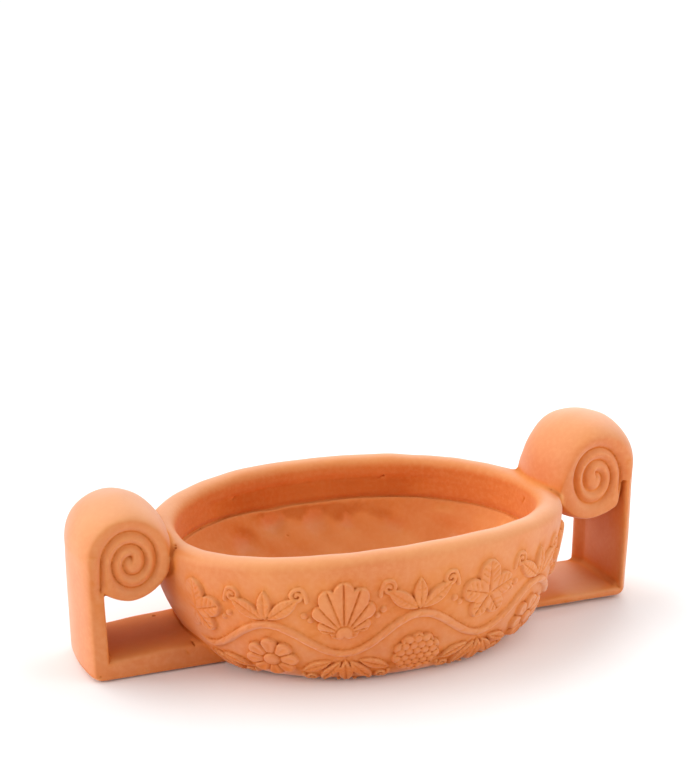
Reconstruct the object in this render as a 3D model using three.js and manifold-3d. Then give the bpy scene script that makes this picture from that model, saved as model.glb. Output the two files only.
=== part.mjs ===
// A hand-built terracotta vase: a low oval bowl with a vine in relief, carried between two strap
// handles that rise from the floor and roll up into volutes. Bowl and handles are one fired piece.
// Millimetres, +Z up, standing on its foot, the origin under the middle of its length and width.
import * as THREE from "three";
import { mergeVertices } from "three/addons/utils/BufferGeometryUtils.js";
import Module from "manifold-3d";

// Bowl: the rim's oval, and the wall that leans in and rounds under to the foot
const RIM_HALF_LENGTH = 165;
const RIM_HALF_WIDTH = 123.4;
const RIM_HEIGHT = 102.2;
const RIM_THICKNESS = 20.5;
const RIM_CROWN = 8.2;
const PLAN_SQUARENESS = 2.2;
const WALL_ROUND_IN = 47.5;
const WALL_LEAN = 11.6;
const WALL_SQUARENESS = 2.59;
const SIDE_SHARE = 0.46;
const BOWL_OFFSET = -2.65;

// Hand-made sag of the rim, by one and two waves round the oval
const SAG_END_TO_END = 1.4;
const SAG_FRONT_TO_BACK = -1.5;
const SAG_ENDS_TO_SIDES = -3.1;
const SAG_CORNERS = -1.2;

// Inside: an upright band under the rim, a crease, and a pressed basin
const BAND_DEPTH = 34.5;
const CREASE_STEP = 2;
const FLOOR_THICKNESS = 18;
const BASIN_FULLNESS = 5;

// Handles: a strap along the floor and up, rolled inward at the top
const HANDLE_REACH = 233.3;
const STRAP_WIDTH = 74.2;
const CROWN_POWER = 1.75;
const STRAP_EDGE = 4;
const STRAP_EDGE_POWER = 7;
const HEEL_RADIUS = 14;
const HEEL_EDGE_RADIUS = 6;
const INSIDE_FILLET = 3.5;
const BAR_INNER_END = 100;

// A volute tucks in where its roll comes round to the upright, and is filled out where it meets the bowl
const TUCK_FROM = -0.5 * Math.PI;
const TUCK_ANGLE = 0.4 * Math.PI;
const FILL_ANGLE = -0.7 * Math.PI;
const FILL_SPREAD = 0.28 * Math.PI;
const UNDERSIDE_LOW = -0.6;
const UNDERSIDE_HIGH = 0.1;

// The two handles: the lower one on the left has a thick bar that rises towards the bowl
const LEFT_HANDLE = {
  side: -1,
  crown: 9,
  underCrown: 5.5,
  voluteRadius: 37.5,
  voluteHeight: 95,
  tuck: 4,
  fill: 0,
  uprightThickness: 19.2,
  barThickness: 19.3,
  barRise: 0.067,
  barEdge: 8,
  barEdgePower: 3,
  spiral: { radius: 26.9, pitch: 9.9, squeeze: 0.85, inset: 2.6, drop: 4.4, start: -0.25 * Math.PI },
};
const RIGHT_HANDLE = {
  side: 1,
  crown: 14.5,
  underCrown: 3.5,
  voluteRadius: 40.2,
  voluteHeight: 116.1,
  tuck: 15.5,
  fill: 8,
  uprightThickness: 18.6,
  barThickness: 12,
  barRise: 0,
  barEdge: 4,
  barEdgePower: 5,
  spiral: { radius: 28.8, pitch: 10.5, squeeze: 0.8, inset: 3.7, drop: 8.1, start: -0.14 * Math.PI },
};
const HANDLES = [LEFT_HANDLE, RIGHT_HANDLE];

// Spiral line on both faces of each volute, running in from the upright's inner edge
const SPIRAL_TURNS = 2.45;
const SPIRAL_LINE = 2.2;

// Relief on the outer wall: a wavy vine stem with one motif in each bend
const RELIEF_HEIGHT = 2.6;
const RELIEF_ROOT = 3;
const RELIEF_BARE = 40;
const RELIEF_FULL = 66;
const VINE_BENDS = 16;
const VINE_LINE = 55;
const VINE_SWING = 14;
const VINE_WIDTH = 5.5;
const MOTIF_OFFSET = 19;
const MOTIFS = {
  leaf: { radius: 23, lobes: 5, cut: 0.4, reach: 0.14, sharpness: 0.8, points: 20 },
  rosette: { radius: 21, lobes: 8, cut: 0.22, reach: 0, sharpness: 0.7, points: 24 },
  palmette: { radius: 23, lobes: 9, cut: 0.18, reach: 0.16, sharpness: 0.8, points: 27 },
  grapes: { radius: 20, lobes: 10, cut: 0.14, reach: 0.16, sharpness: 0.7, points: 20 },
};
const MOTIF_ORDER = ["grapes", "leaf", "rosette", "palmette"];

// Facets
const BOWL_SEGMENTS = 44;
const WALL_STEPS = 7;
const RIM_STEPS = 5;
const BASIN_STEPS = 5;
const VOLUTE_SEGMENTS = 28;
const CORNER_STEPS = 4;
const STRAP_STATIONS = [-1, -0.97, -0.85, -0.5, 0, 0.5, 0.85, 0.97, 1];
const SPIRAL_STEPS = 36;
const SPIRAL_SIDES = 4;
const STEM_STEPS = 5 * VINE_BENDS;
const MOTIF_INNER_RING = 0.5;
const MERGE_GAP = 1e-4;
const PROBE = 0.5;

const TERRACOTTA = new THREE.MeshStandardMaterial({
  color: 0xd98a57,
  roughness: 0.92,
  metalness: 0,
  flatShading: true,
});

const wasm = await Module();
wasm.setup();

const WALL_TOP = RIM_HEIGHT - RIM_CROWN;
const QUARTER_TURN = Math.PI / 2;
const FULL_TURN = 2 * Math.PI;

// A power that keeps the sign of its base.
function signedPower(base, power) {
  return Math.sign(base) * Math.abs(base) ** power;
}

// A point on the bowl's oval plan: half-length a, half-width b.
function ovalPoint(angle, a, b) {
  const power = 2 / PLAN_SQUARENESS;
  return [
    BOWL_OFFSET + a * signedPower(Math.cos(angle), power),
    b * signedPower(Math.sin(angle), power),
  ];
}

// How far the hand-made rim rises or sags at an angle round the bowl.
function rimSag(angle) {
  const ends = SAG_END_TO_END * Math.cos(angle) + SAG_FRONT_TO_BACK * Math.sin(angle);
  return ends + SAG_ENDS_TO_SIDES * Math.cos(2 * angle) + SAG_CORNERS * Math.sin(2 * angle);
}

// A point of the bowl from its ring (half-length a, half-width b, height z) and its angle.
function bowlPoint(ring, angle) {
  const [x, y] = ovalPoint(angle, ring.a, ring.b);
  const share = (ring.z / RIM_HEIGHT) * (ring.a / RIM_HALF_LENGTH);
  return new THREE.Vector3(x, y, ring.z + share * rimSag(angle));
}

// The outer wall from the rim (t = 0) down to the foot (t = 1): x is the inset, y the height.
class WallProfile extends THREE.Curve {
  getPoint(t, target = new THREE.Vector3()) {
    const c = Math.cos(t * QUARTER_TURN) ** (2 / WALL_SQUARENESS);
    const s = Math.sin(t * QUARTER_TURN);
    const inset = WALL_ROUND_IN * (1 - c) + WALL_LEAN * s;
    return target.set(inset, WALL_TOP * (1 - s ** (2 / WALL_SQUARENESS)), 0);
  }
}

// The rim's oval, walked once round from the middle of the front.
class RimPlan extends THREE.Curve {
  getPoint(t, target = new THREE.Vector3()) {
    const [x, y] = ovalPoint(t * FULL_TURN - QUARTER_TURN, RIM_HALF_LENGTH, RIM_HALF_WIDTH);
    return target.set(x, y, 0);
  }
}

const wallProfile = new WallProfile();
const rimPlan = new RimPlan();
const wallDepth = wallProfile.getLength();
const rimLength = rimPlan.getLength();

// The ring of the outer wall at an inset from the rim's edge. The sides draw in less than the ends.
function wallRing(inset, z) {
  return { a: RIM_HALF_LENGTH - inset, b: RIM_HALF_WIDTH - SIDE_SHARE * inset, z };
}

// Rings of the whole hollow bowl: foot, outer wall, rim, inner band, crease and basin.
function bowlRings() {
  const rings = [{ a: 0, b: 0, z: 0 }];
  for (let i = 0; i <= WALL_STEPS; i += 1) {
    const point = wallProfile.getPoint(1 - i / WALL_STEPS);
    rings.push(wallRing(point.x, point.y));
  }
  const half = RIM_THICKNESS / 2;
  for (let i = 1; i <= RIM_STEPS; i += 1) {
    const turn = (i / RIM_STEPS) * Math.PI;
    const inset = half * (1 - Math.cos(turn));
    const z = WALL_TOP + RIM_CROWN * Math.sin(turn);
    rings.push({ a: RIM_HALF_LENGTH - inset, b: RIM_HALF_WIDTH - inset, z });
  }
  const crease = RIM_HEIGHT - BAND_DEPTH;
  const a = RIM_HALF_LENGTH - RIM_THICKNESS;
  const b = RIM_HALF_WIDTH - RIM_THICKNESS;
  rings.push({ a, b, z: crease });
  for (let i = 0; i <= BASIN_STEPS; i += 1) {
    const reach = 1 - i / BASIN_STEPS;
    const z = FLOOR_THICKNESS + (crease - FLOOR_THICKNESS - CREASE_STEP) * reach ** BASIN_FULLNESS;
    rings.push({ a: (a - CREASE_STEP) * reach, b: (b - CREASE_STEP) * reach, z });
  }
  return rings;
}

// The hollow bowl: a turned profile, each ring pulled out to its own oval.
function bowlGeometry() {
  const rings = bowlRings();
  const profile = rings.map((ring) => new THREE.Vector2(ring.a, ring.z));
  const geometry = new THREE.LatheGeometry(profile, BOWL_SEGMENTS);
  const position = geometry.getAttribute("position");
  for (let k = 0; k < position.count; k += 1) {
    const angle = (Math.floor(k / rings.length) % BOWL_SEGMENTS) * (FULL_TURN / BOWL_SEGMENTS);
    const point = bowlPoint(rings[k % rings.length], angle);
    position.setXYZ(k, point.x, point.y, point.z);
  }
  return geometry;
}

// How far the strap's outer or inner surface falls back at a share (-1 to 1) of its half-width.
function fallBack(share, depth, power) {
  return depth * (1 - (1 - Math.abs(share) ** power) ** (1 / power));
}

// A run of points on an arc, with its own radius each way.
function arcPoints(x, z, radiusX, radiusZ, from, to, steps) {
  return Array.from({ length: steps + 1 }, (_, i) => {
    const angle = from + ((to - from) * i) / steps;
    return new THREE.Vector2(x + radiusX * Math.cos(angle), z + radiusZ * Math.sin(angle));
  });
}

// How far the roll's crown falls back at an angle from straight out: less on the roll's underside.
function crownAt(handle, angle) {
  const under = angle < 0 && angle > TUCK_FROM;
  const rise = under ? -1 : Math.sin(angle);
  const share = THREE.MathUtils.smoothstep(rise, UNDERSIDE_LOW, UNDERSIDE_HIGH);
  return THREE.MathUtils.lerp(handle.underCrown, handle.crown, share);
}

// Radius of the roll at an angle from straight out, tucked in at the upright and filled out at the bowl.
function rollRadius(handle, angle) {
  const tucked = angle < 0 ? THREE.MathUtils.clamp((angle - TUCK_FROM) / TUCK_ANGLE, 0, 1) : 0;
  const filled = 1 - THREE.MathUtils.smoothstep(Math.abs(angle - FILL_ANGLE), 0, FILL_SPREAD);
  return handle.voluteRadius - handle.tuck * tucked + handle.fill * filled;
}

// Outline of the bent strap (floor bar, heel and upright) at one share of its width.
function strapOutline(handle, share) {
  const outer = fallBack(share, handle.crown, CROWN_POWER);
  const edge = fallBack(share, STRAP_EDGE, STRAP_EDGE_POWER);
  const round = fallBack(share, handle.barEdge, handle.barEdgePower);
  const heel = THREE.MathUtils.lerp(HEEL_RADIUS, HEEL_EDGE_RADIUS, share * share);
  const heelX = HANDLE_REACH - outer - heel;
  const inside = HANDLE_REACH - handle.uprightThickness - INSIDE_FILLET;
  const bend = handle.barThickness + INSIDE_FILLET;
  const [wide, deep] = [INSIDE_FILLET + edge, INSIDE_FILLET + round];
  const barRise = handle.barRise * (inside - BAR_INNER_END);
  return [
    new THREE.Vector2(BAR_INNER_END, edge),
    ...arcPoints(heelX, edge + heel, heel, heel, -QUARTER_TURN, 0, CORNER_STEPS),
    new THREE.Vector2(HANDLE_REACH - outer, handle.voluteHeight),
    new THREE.Vector2(HANDLE_REACH - handle.uprightThickness + edge, handle.voluteHeight),
    ...arcPoints(inside, bend, wide, deep, 0, -QUARTER_TURN, CORNER_STEPS),
    new THREE.Vector2(BAR_INNER_END, handle.barThickness + barRise - round),
  ];
}

// A solid through outlines of equal point count that stand one behind another along Y.
function loftGeometry(outlines, depths) {
  const count = outlines[0].length;
  const vertices = [];
  outlines.forEach((outline, k) => {
    outline.forEach((point) => vertices.push(point.x, depths[k], point.y));
  });
  const corners = [];
  for (let k = 0; k + 1 < outlines.length; k += 1) {
    for (let i = 0; i < count; i += 1) {
      const next = (i + 1) % count;
      const [a, b] = [k * count + i, k * count + next];
      corners.push(a, a + count, b + count, a, b + count, b);
    }
  }
  const last = (outlines.length - 1) * count;
  THREE.ShapeUtils.triangulateShape(outlines[0], []).forEach(([a, b, c]) => corners.push(a, b, c));
  THREE.ShapeUtils.triangulateShape(outlines.at(-1), []).forEach(([a, b, c]) => {
    corners.push(last + a, last + c, last + b);
  });
  return meshGeometry(vertices, corners);
}

// An indexed geometry from plain lists of coordinates and corners.
function meshGeometry(vertices, corners) {
  const geometry = new THREE.BufferGeometry();
  geometry.setAttribute("position", new THREE.Float32BufferAttribute(vertices, 3));
  geometry.setIndex(corners);
  return geometry;
}

// The bent strap of one handle, on its own side of the bowl.
function strapGeometry(handle) {
  const outlines = STRAP_STATIONS.map((share) => {
    const outline = strapOutline(handle, share);
    outline.forEach((point) => point.setX(point.x * handle.side));
    return handle.side < 0 ? outline.reverse() : outline;
  });
  return loftGeometry(outlines, STRAP_STATIONS.map((share) => (share * STRAP_WIDTH) / 2));
}

// The rolled end of one handle: a drum whose round surface carries on from the upright's.
function voluteGeometry(handle) {
  const half = STRAP_WIDTH / 2;
  const profile = STRAP_STATIONS.map((share) => new THREE.Vector2(1, share * half));
  const closed = [new THREE.Vector2(0, -half), ...profile, new THREE.Vector2(0, half)];
  const geometry = new THREE.LatheGeometry(closed, VOLUTE_SEGMENTS);
  const position = geometry.getAttribute("position");
  for (let k = 0; k < position.count; k += 1) {
    const [x, y, z] = [position.getX(k), position.getY(k), position.getZ(k)];
    const angle = Math.atan2(z, handle.side * x + MERGE_GAP) + MERGE_GAP;
    const fall = fallBack(y / half, crownAt(handle, angle), CROWN_POWER);
    const radius = rollRadius(handle, angle) - fall;
    position.setXYZ(k, radius * x, y, radius * z);
  }
  return geometry.translate(handle.side * (HANDLE_REACH - handle.voluteRadius), 0, handle.voluteHeight);
}

// The spiral line on one face (-1 front, 1 back) of a volute, lying on its rounded edge and flat.
class SpiralLine extends THREE.Curve {
  constructor(handle, face) {
    super();
    this.handle = handle;
    this.face = face;
  }

  getPoint(t, target = new THREE.Vector3()) {
    const { side, voluteRadius, voluteHeight, spiral } = this.handle;
    const angle = spiral.start + t * SPIRAL_TURNS * FULL_TURN;
    const radius = spiral.radius - (spiral.pitch * angle) / FULL_TURN;
    const x = spiral.squeeze * radius * Math.cos(angle) - spiral.inset;
    const z = radius * Math.sin(angle) - spiral.drop;
    const out = Math.atan2(z, x);
    const depthIn = (rollRadius(this.handle, out) - Math.hypot(x, z)) / crownAt(this.handle, out);
    const roundness = THREE.MathUtils.clamp(depthIn, 0, 1);
    const share = (1 - (1 - roundness) ** CROWN_POWER) ** (1 / CROWN_POWER);
    const depth = (this.face * share * STRAP_WIDTH) / 2;
    return target.set(side * (HANDLE_REACH - voluteRadius + x), depth, voluteHeight + z);
  }
}

// The tool that presses one spiral line into a volute's face.
function spiralGeometry(handle, face) {
  const ring = arcPoints(0, 0, SPIRAL_LINE, SPIRAL_LINE, 0, FULL_TURN, SPIRAL_SIDES);
  const section = new THREE.Shape(ring.slice(0, -1));
  return new THREE.ExtrudeGeometry(section, {
    steps: SPIRAL_STEPS,
    bevelEnabled: false,
    extrudePath: new SpiralLine(handle, face),
  });
}

// A point on the outer wall, by its run round the rim from the middle of the front and its run down.
function wallSurface(along, down) {
  const share = THREE.MathUtils.euclideanModulo(along / rimLength, 1);
  const angle = rimPlan.getUtoTmapping(share) * FULL_TURN - QUARTER_TURN;
  const profile = wallProfile.getPointAt(THREE.MathUtils.clamp(down / wallDepth, 0, 1));
  return bowlPoint(wallRing(profile.x, profile.y), angle);
}

// The same point lifted off the wall along its outward normal.
function wallPoint(along, down, lift) {
  const here = wallSurface(along, down);
  const east = wallSurface(along + PROBE, down).sub(here);
  const south = wallSurface(along, down + PROBE).sub(here);
  return here.addScaledVector(south.cross(east).normalize(), lift);
}

// How far down the wall the vine's stem runs at a place round the rim.
function stemLine(along) {
  return VINE_LINE - VINE_SWING * Math.cos((along / rimLength) * VINE_BENDS * Math.PI);
}

// How high the relief stands at a place round the rim: it sinks into the wall behind the handles.
function reliefLift(along) {
  const half = rimLength / 2;
  const fromHandle = Math.abs(THREE.MathUtils.euclideanModulo(along, half) - half / 2);
  const share = THREE.MathUtils.smoothstep(fromHandle, RELIEF_BARE, RELIEF_FULL);
  return THREE.MathUtils.lerp(-RELIEF_ROOT / 2, RELIEF_HEIGHT, share);
}

// The vine's stem: a closed band that swings up and down round the whole bowl.
function stemGeometry() {
  const vertices = [];
  const corners = [];
  for (let i = 0; i < STEM_STEPS; i += 1) {
    const along = (i / STEM_STEPS) * rimLength;
    const slope = (stemLine(along + PROBE) - stemLine(along - PROBE)) / (2 * PROBE);
    const [across, down] = [-slope, 1].map((part) => (part * VINE_WIDTH) / 2 / Math.hypot(slope, 1));
    const top = reliefLift(along);
    const edges = [[-1, top], [1, top], [1, -RELIEF_ROOT], [-1, -RELIEF_ROOT]];
    edges.forEach(([edge, lift]) => {
      const point = wallPoint(along + edge * across, stemLine(along) + edge * down, lift);
      vertices.push(point.x, point.y, point.z);
    });
    const next = (i + 1) % STEM_STEPS;
    const count = edges.length;
    edges.forEach((_, j) => {
      const beside = (j + 1) % count;
      const [a, b] = [count * i + j, count * i + beside];
      const [c, d] = [count * next + beside, count * next + j];
      corners.push(a, b, c, a, c, d);
    });
  }
  return meshGeometry(vertices, corners);
}

// The lobed outline of a motif, as steps along and down from its middle; its tip points by turn.
function motifOutline(motif, turn) {
  return Array.from({ length: motif.points }, (_, i) => {
    const angle = (i / motif.points) * FULL_TURN;
    const lobe = Math.abs(Math.cos((motif.lobes * angle) / 2)) ** motif.sharpness;
    const radius = motif.radius * (1 - motif.cut * (1 - lobe)) * (1 + motif.reach * Math.cos(angle));
    return [radius * Math.sin(angle + turn), -radius * Math.cos(angle + turn)];
  });
}

// One raised motif: a flat-topped island that follows the wall's curve and is rooted in it.
function motifGeometry(motif, along, down, turn) {
  const outline = motifOutline(motif, turn);
  const count = outline.length;
  const layers = [[1, () => -RELIEF_ROOT], [1, reliefLift], [MOTIF_INNER_RING, reliefLift]];
  const vertices = layers.flatMap(([scale, lift]) => outline.flatMap(([across, fall]) => {
    const place = along + scale * across;
    return wallPoint(place, down + scale * fall, lift(place)).toArray();
  }));
  const [base, top] = [layers.length * count, layers.length * count + 1];
  vertices.push(...wallPoint(along, down, -RELIEF_ROOT).toArray());
  vertices.push(...wallPoint(along, down, RELIEF_HEIGHT).toArray());
  const corners = [];
  for (let i = 0; i < count; i += 1) {
    const next = (i + 1) % count;
    corners.push(base, i, next);
    for (let ring = 0; ring + 1 < layers.length; ring += 1) {
      const [a, b] = [ring * count + i, ring * count + next];
      corners.push(a, a + count, b + count, a, b + count, b);
    }
    const inner = (layers.length - 1) * count;
    corners.push(top, inner + next, inner + i);
  }
  return meshGeometry(vertices, corners);
}

// Every motif of the vine: bends swing up and down in turn, and the two behind the handles stay bare.
function motifGeometries() {
  const geometries = [];
  for (let bend = 0; bend < VINE_BENDS; bend += 1) {
    const behindHandle = bend % (VINE_BENDS / 2) === VINE_BENDS / 4;
    const swing = bend % 2 === 0 ? 1 : -1;
    const along = (bend / VINE_BENDS) * rimLength;
    const motif = MOTIFS[MOTIF_ORDER[bend % MOTIF_ORDER.length]];
    const turn = swing > 0 ? Math.PI : 0;
    if (!behindHandle) {
      geometries.push(motifGeometry(motif, along, VINE_LINE + swing * MOTIF_OFFSET, turn));
    }
  }
  return geometries;
}

// A closed body for joining and cutting, with shared corners merged and empty facets dropped.
function solidOf(geometry) {
  geometry.deleteAttribute("normal");
  geometry.deleteAttribute("uv");
  const merged = mergeVertices(geometry, MERGE_GAP);
  const index = merged.getIndex().array;
  const corners = [];
  for (let i = 0; i < index.length; i += 3) {
    const [a, b, c] = index.slice(i, i + 3);
    if (a !== b && b !== c && c !== a) {
      corners.push(a, b, c);
    }
  }
  return new wasm.Manifold(new wasm.Mesh({
    numProp: 3,
    vertProperties: Float32Array.from(merged.getAttribute("position").array),
    triVerts: Uint32Array.from(corners),
  }));
}

// A geometry from a joined and cut body.
function geometryOf(solid) {
  const mesh = solid.getMesh();
  const geometry = meshGeometry(Array.from(mesh.vertProperties), Array.from(mesh.triVerts));
  geometry.computeVertexNormals();
  return geometry;
}

// One handle: bent strap and rolled volute, with the spiral pressed into both faces.
function handleSolid(handle) {
  const rolled = solidOf(strapGeometry(handle)).add(solidOf(voluteGeometry(handle)));
  return [-1, 1].reduce((solid, face) => solid.subtract(solidOf(spiralGeometry(handle, face))), rolled);
}

// The whole vase, joined as the wet clay is.
function vaseGeometry() {
  const raised = [stemGeometry(), ...motifGeometries()].map(solidOf);
  const parts = [...raised, ...HANDLES.map(handleSolid)];
  return geometryOf(parts.reduce((solid, part) => solid.add(part), solidOf(bowlGeometry())));
}

const vase = new THREE.Mesh(vaseGeometry(), TERRACOTTA);
vase.name = "vase";

const part = new THREE.Group();
part.add(vase);
export default part;
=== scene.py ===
"""A hand-built terracotta vase, alone in a plain white studio.

The vase is one fired piece: a low oval bowl with a vine in relief, carried between two strap handles
that rise from the floor and roll up into volutes. Its clay is modelled as one closed skin that keeps
the form of the solid, in the same frame. The clay model works in millimetres and the scene in metres.
A body of clay is a field: a distance in millimetres, negative inside the clay.
"""

from __future__ import annotations

import logging
import math
from collections.abc import Callable
from dataclasses import dataclass, field
from enum import Enum

import bpy
import numpy as np
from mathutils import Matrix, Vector

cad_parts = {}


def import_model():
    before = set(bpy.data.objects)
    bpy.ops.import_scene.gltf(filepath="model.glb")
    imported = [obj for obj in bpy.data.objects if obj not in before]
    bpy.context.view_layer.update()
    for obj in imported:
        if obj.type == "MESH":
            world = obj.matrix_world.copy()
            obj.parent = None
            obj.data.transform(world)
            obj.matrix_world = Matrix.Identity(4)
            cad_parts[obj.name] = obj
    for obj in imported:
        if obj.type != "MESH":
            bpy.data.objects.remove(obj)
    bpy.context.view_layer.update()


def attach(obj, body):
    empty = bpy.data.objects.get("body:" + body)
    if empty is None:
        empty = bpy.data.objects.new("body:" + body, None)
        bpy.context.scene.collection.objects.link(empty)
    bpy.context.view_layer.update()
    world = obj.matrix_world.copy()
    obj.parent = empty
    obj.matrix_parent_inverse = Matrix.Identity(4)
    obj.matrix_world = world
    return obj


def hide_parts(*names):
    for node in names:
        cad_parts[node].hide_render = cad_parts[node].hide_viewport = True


LOG = logging.getLogger("vase")
MILLIMETRE = 0.001
TINY = 1e-6
TURN = 2.0 * math.pi
NEAR_EDGE = 0.985
Array = np.ndarray
Field = Callable[[Array], Array]
Pair = tuple[float, float]
Triple = tuple[float, float, float]


def ramp(value: Array, low: float, high: float) -> Array:
    """Rise smoothly from 0 to 1.

    Args:
        value: Numbers to map.
        low: Where the rise begins.
        high: Where the rise ends.

    Returns:
        A share from 0 to 1 for each number.
    """
    share = np.clip((value - low) / (high - low), 0.0, 1.0)
    return share * share * (3.0 - 2.0 * share)


def dome(share: Array) -> Array:
    """Height of a round dome, 1 at its middle and 0 from its edge outwards."""
    return np.sqrt(np.clip(1.0 - share**2, 0.0, 1.0))


def knit(first: Array, second: Array, width: Array | float) -> Array:
    """Join two bodies of clay with a smoothed seam.

    Args:
        first: Field of one body.
        second: Field of the other body.
        width: How wide the smoothing reaches.

    Returns:
        The field of the joined clay.
    """
    overlap = np.maximum(width - np.abs(first - second), 0.0)
    return np.minimum(first, second) - overlap * overlap / (4.0 * width)


def trim(first: Array, second: Array, width: float) -> Array:
    """Keep only the clay that lies in both bodies, with the new edge softened over a width."""
    return -knit(-first, -second, width)


def softened(fall: Array, share: Array, half: float, depth: Array | float, power: Array | float) -> Array:
    """Field of a strap's surface that falls back in a round towards both of its edges.

    Args:
        fall: Distance outside the surface's crest line.
        share: Place across the strap, 0 at the middle and 1 at an edge.
        half: Half of the strap's width.
        depth: How far the surface has fallen back at the edge.
        power: How late and how sharply it falls back.

    Returns:
        The field.
    """
    crest = np.maximum(1.0 + fall / depth, 0.0)
    size = (crest**power + share**power) ** (1.0 / power) + TINY
    slope = np.hypot((crest / size) ** (power - 1.0) / depth, (share / size) ** (power - 1.0) / half)
    return (size - 1.0) / np.maximum(slope, 1.0 / (4.0 * half))


def set_up(thing: bpy.types.Object, way: Vector) -> None:
    """Turn a lamp or camera to look along a way, and add it to the scene."""
    thing.rotation_euler = way.to_track_quat("-Z", "Y").to_euler()
    bpy.context.scene.collection.objects.link(thing)


@dataclass(frozen=True)
class HandWaves:
    """Low unevenness that hands leave in clay: a few soft waves that run in all directions."""

    seed: int
    height: float
    shortest: float
    longest: float
    count: int = 9

    def lift(self, points: Array) -> Array:
        """Work out the unevenness.

        Args:
            points: Places in the clay, one row each.

        Returns:
            Height of the waves at each place.
        """
        random = np.random.default_rng(self.seed)
        ways = random.normal(size=(self.count, 3))
        ways /= np.linalg.norm(ways, axis=1, keepdims=True)
        lengths = np.geomspace(self.shortest, self.longest, self.count)
        starts = random.uniform(0.0, TURN, self.count)
        total = np.zeros(len(points), np.float32)
        for way, length, start in zip(ways, lengths, starts):
            total += np.sin(points @ (way * TURN / length).astype(np.float32) + np.float32(start))
        return total * (self.height / math.sqrt(self.count))


class MotifKind(Enum):
    """The motifs that fill the bends of the vine."""

    GRAPES = "grapes"
    LEAF = "leaf"
    ROSETTE = "rosette"
    PALMETTE = "palmette"


@dataclass(frozen=True)
class MotifOutline:
    """A lobed outline: its radius, lobes, how deep they are cut, its pull towards the tip, and their shape."""

    radius: float
    lobes: int
    cut: float
    reach: float
    sharpness: float
    probe: float = 0.02
    steepest: float = 2.0

    def edge(self, angle: Array) -> Array:
        """Radius of the outline at an angle from its tip."""
        lobe = np.abs(np.cos(self.lobes * angle / 2.0)) ** self.sharpness
        return self.radius * (1.0 - self.cut * (1.0 - lobe)) * (1.0 + self.reach * np.cos(angle))

    def inside(self, radius: Array, angle: Array) -> Array:
        """Depth of a point inside the outline.

        Args:
            radius: Distance from the motif's middle.
            angle: Angle from the tip.

        Returns:
            Millimetres inside the outline, negative outside.
        """
        edge = self.edge(angle)
        slope = (self.edge(angle + self.probe) - self.edge(angle - self.probe)) / (2.0 * self.probe * edge)
        return (edge - radius) / np.sqrt(1.0 + np.minimum(slope * slope, self.steepest))


OUTLINES: dict[MotifKind, MotifOutline] = {
    MotifKind.LEAF: MotifOutline(23.0, 5, 0.4, 0.14, 0.8),
    MotifKind.ROSETTE: MotifOutline(21.0, 8, 0.22, 0.0, 0.7),
    MotifKind.PALMETTE: MotifOutline(23.0, 9, 0.18, 0.16, 0.8),
    MotifKind.GRAPES: MotifOutline(20.0, 10, 0.14, 0.16, 0.7),
}


@dataclass
class MotifSpots:
    """Places on one motif: its outline, and their distance and angle from its middle and depth inside it."""

    outline: MotifOutline
    radius: Array
    angle: Array
    inside: Array

    def off_ray(self, shift: float) -> Array:
        """Angle from the nearest of the rays, one to a lobe, that start at a share of a step from the tip."""
        step = TURN / self.outline.lobes
        return self.angle - (np.round(self.angle / step - shift) + shift) * step


@dataclass
class Patch:
    """A patch of the relief sheet round one motif, with the steps along and down from its middle."""

    rows: Array
    columns: Array
    across: Array
    fall: Array


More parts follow.
